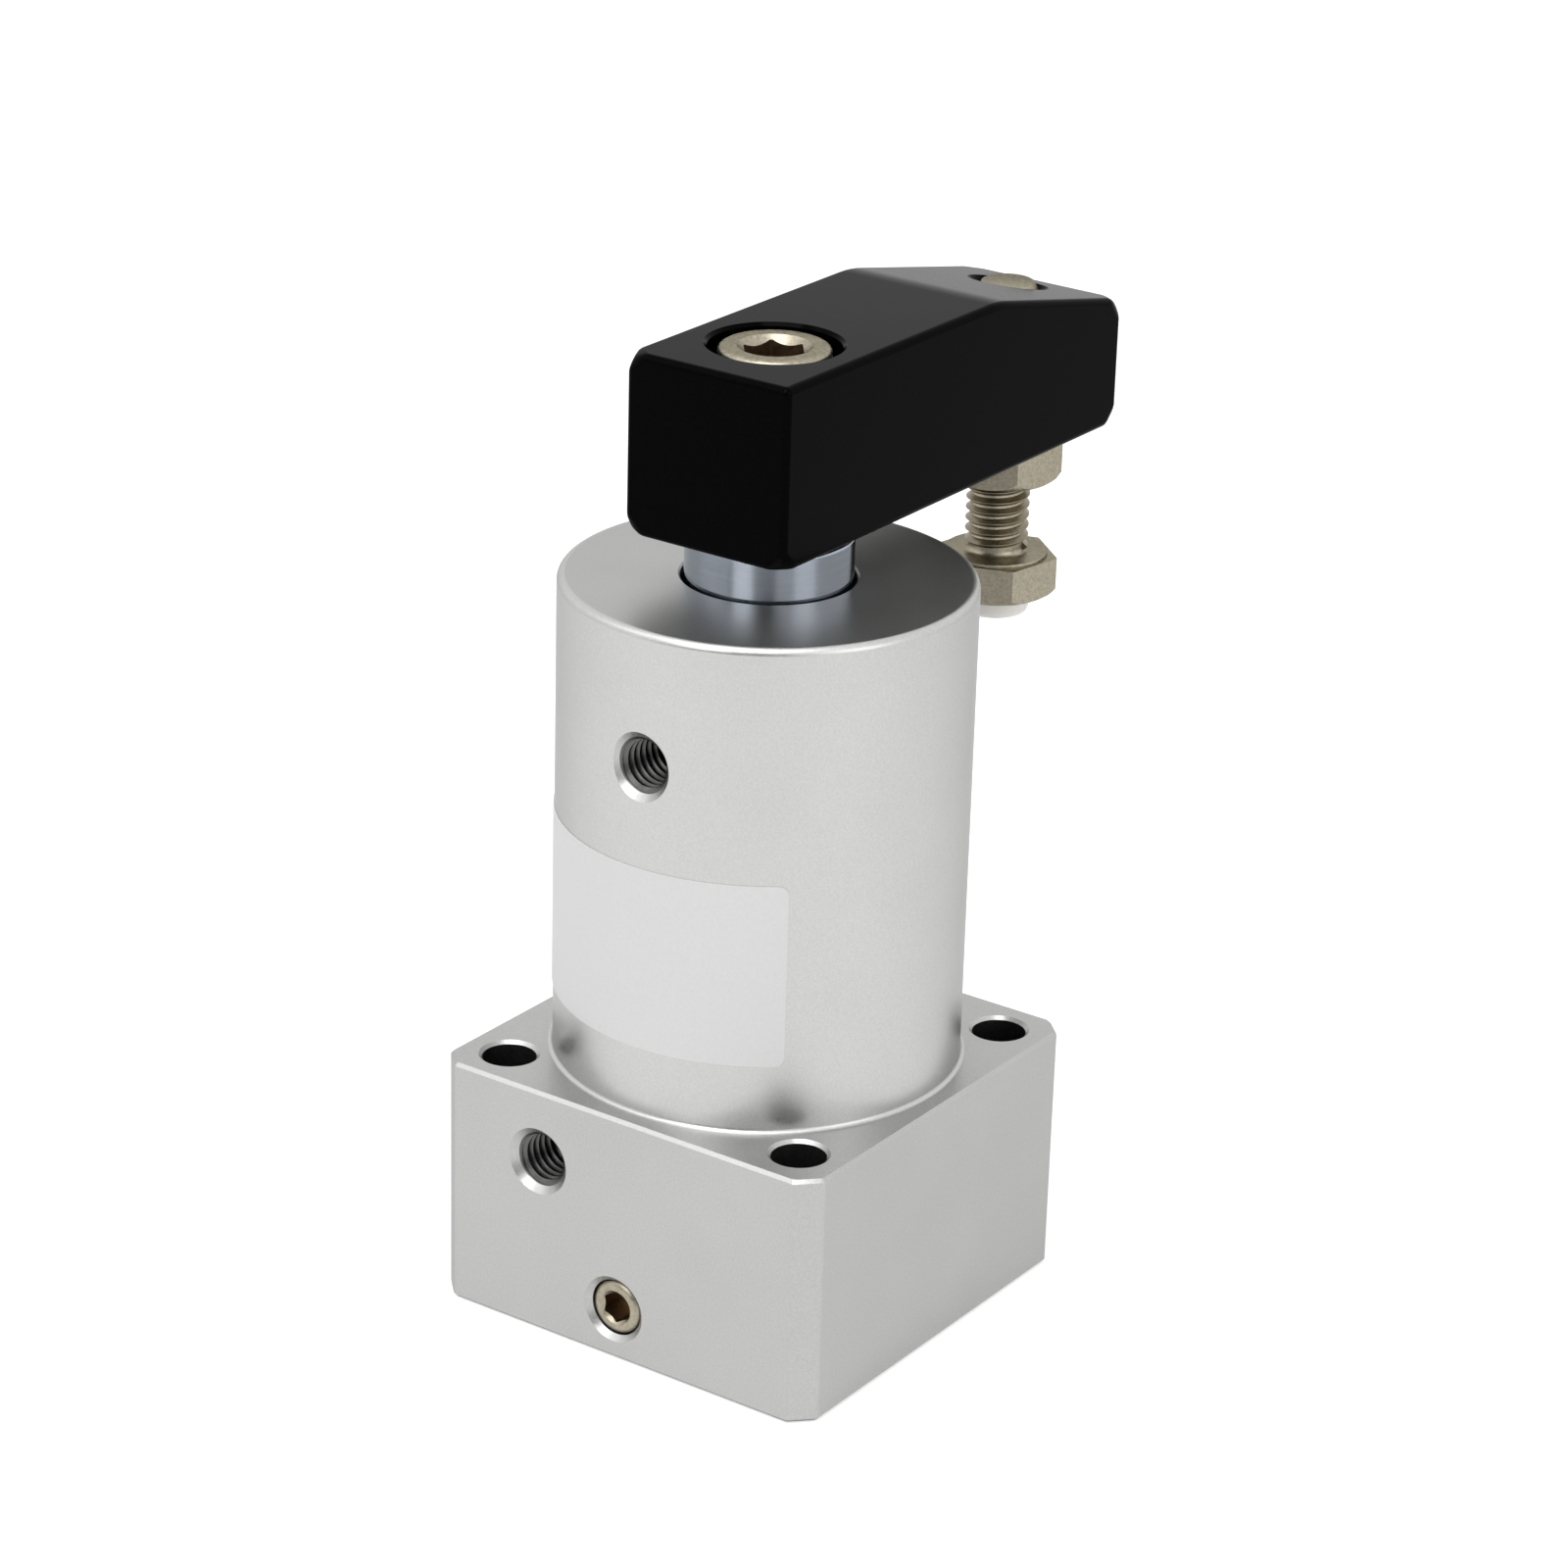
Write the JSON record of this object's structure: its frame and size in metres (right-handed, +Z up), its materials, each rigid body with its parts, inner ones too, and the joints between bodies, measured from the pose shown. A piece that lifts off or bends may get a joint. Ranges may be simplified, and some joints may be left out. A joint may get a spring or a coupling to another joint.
{
  "type": "swing clamp cylinder",
  "caption": "Pneumatic swing clamp cylinder: square-based round body, rod that rises straight then turns, arm with adjustable clamp bolt and soft pad.",
  "frame": {"origin": "on the rod's axis, in the plane of the mounting face at the bottom", "axes": "+Z up along the rod's axis, -Y towards the face with the ports, +Y from the rod to the clamp bolt in the clamped position"},
  "size_m": [0.04, 0.0623, 0.0874],
  "materials": {
    "anodised": "satin clear anodised",
    "turned_aluminium": "fine turned",
    "black_rubber": "moulded nitrile rubber",
    "nickel_steel": "nickel plated",
    "tool_steel": "hardened and ground",
    "bronze": "sintered bronze",
    "green_seal": "moulded polyurethane",
    "guide_plastic": "filled guide plastic",
    "spring_steel": "phosphated spring steel",
    "hard_chrome": "polished hard chrome",
    "black_steel": "black oxide, satin",
    "white_plastic": "moulded acetal"
  },
  "bodies": {
    "housing": {"cylinder_body": "anodised", "rear_cover": "turned_aluminium", "rear_cover_o_ring": "black_rubber", "cover_set_screw": "nickel_steel", "guide_post": "tool_steel", "post_cross_pin": "tool_steel", "rod_bush": "bronze", "rod_seal": "green_seal", "upper_bumper": "black_rubber"},
    "clamp_stroke_carrier": {"lower_bumper": "black_rubber"},
    "swing_lift_carrier": {"piston_seal": "green_seal", "piston_wear_ring": "guide_plastic"},
    "rod_and_arm": {"piston": "turned_aluminium", "piston_o_ring": "black_rubber", "piston_retaining_ring": "spring_steel", "follower_pin": "tool_steel", "piston_rod": "hard_chrome", "clamp_arm": "black_steel", "arm_cap_screw": "nickel_steel", "clamp_bolt": "nickel_steel", "bolt_lock_nut": "nickel_steel", "clamp_pad": "white_plastic"}
  },
  "joints": [
    {"name": "clamp_stroke", "type": "slide", "parent": "housing", "child": "clamp_stroke_carrier", "axis": [0, 0, 1], "range_m": [0, 0.014]},
    {"name": "swing_lift", "type": "slide", "parent": "clamp_stroke_carrier", "child": "swing_lift_carrier", "axis": [0, 0, 1], "range_m": [0, 0.013]},
    {"name": "swing", "type": "hinge", "parent": "swing_lift_carrier", "child": "rod_and_arm", "pos_m": [0, 0, 0.0714], "axis": [0, 0, -1], "range_deg": [0, 90]}
  ],
  "couplings": [
    {"joint": "swing", "follows": "swing_lift", "rad_per_m": 120.83}
  ]
}
